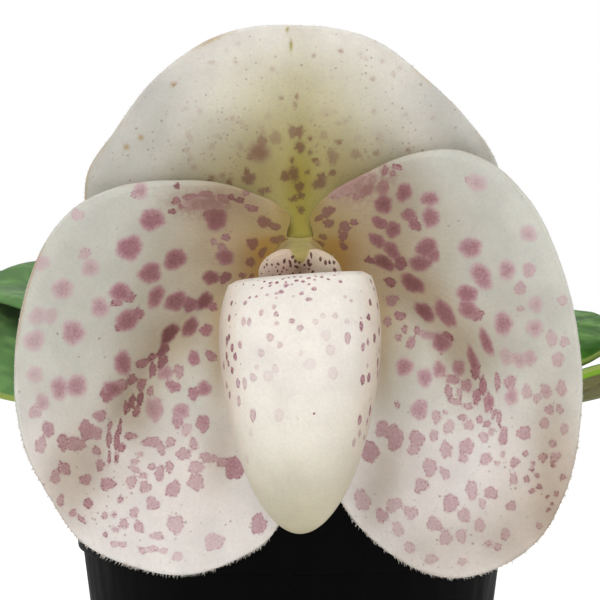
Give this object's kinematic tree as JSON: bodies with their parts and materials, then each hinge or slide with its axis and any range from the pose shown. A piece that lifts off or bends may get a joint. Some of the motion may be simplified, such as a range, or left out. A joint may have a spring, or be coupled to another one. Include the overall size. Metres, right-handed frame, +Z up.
{
  "type": "potted paphiopedilum bellatulum",
  "caption": "Slipper orchid in flower in a small round pot: a wide spotted bloom with an egg-shaped pouch on a short stalk above strap-shaped leaves.",
  "frame": {"origin": "centre of the pot's flat base", "axes": "+Z up; the bloom faces -Y, and +X is to the viewer's right as one looks at it"},
  "size_m": [0.2132, 0.1402, 0.1382],
  "materials": {
    "black_plastic": "satin black",
    "bark": "rough bark chips",
    "crown_green": "matte plant tissue",
    "leaf_green": "smooth mottled leaf",
    "stalk_purple": "hairy stalk",
    "bract_green": "hairy bract",
    "ovary_green": "hairy ribbed ovary",
    "petal_white": "soft waxy petal with purple spots",
    "pouch_white": "waxy white with fine dots",
    "column_green": "waxy yellow-green",
    "shield_white": "waxy with dark dots"
  },
  "bodies": {
    "root": {"pot": "black_plastic", "growing_medium": "bark", "crown": "crown_green", "leaf_left_outer": "leaf_green", "leaf_left_middle": "leaf_green", "leaf_left_inner": "leaf_green", "leaf_right_outer": "leaf_green", "leaf_right_middle": "leaf_green", "leaf_right_inner": "leaf_green", "scape": "stalk_purple", "floral_bract": "bract_green", "ovary": "ovary_green", "dorsal_sepal": "petal_white", "synsepal": "petal_white", "petal_right": "petal_white", "petal_left": "petal_white", "lip_pouch": "pouch_white", "column": "column_green", "staminode": "shield_white"}
  },
  "joints": []
}
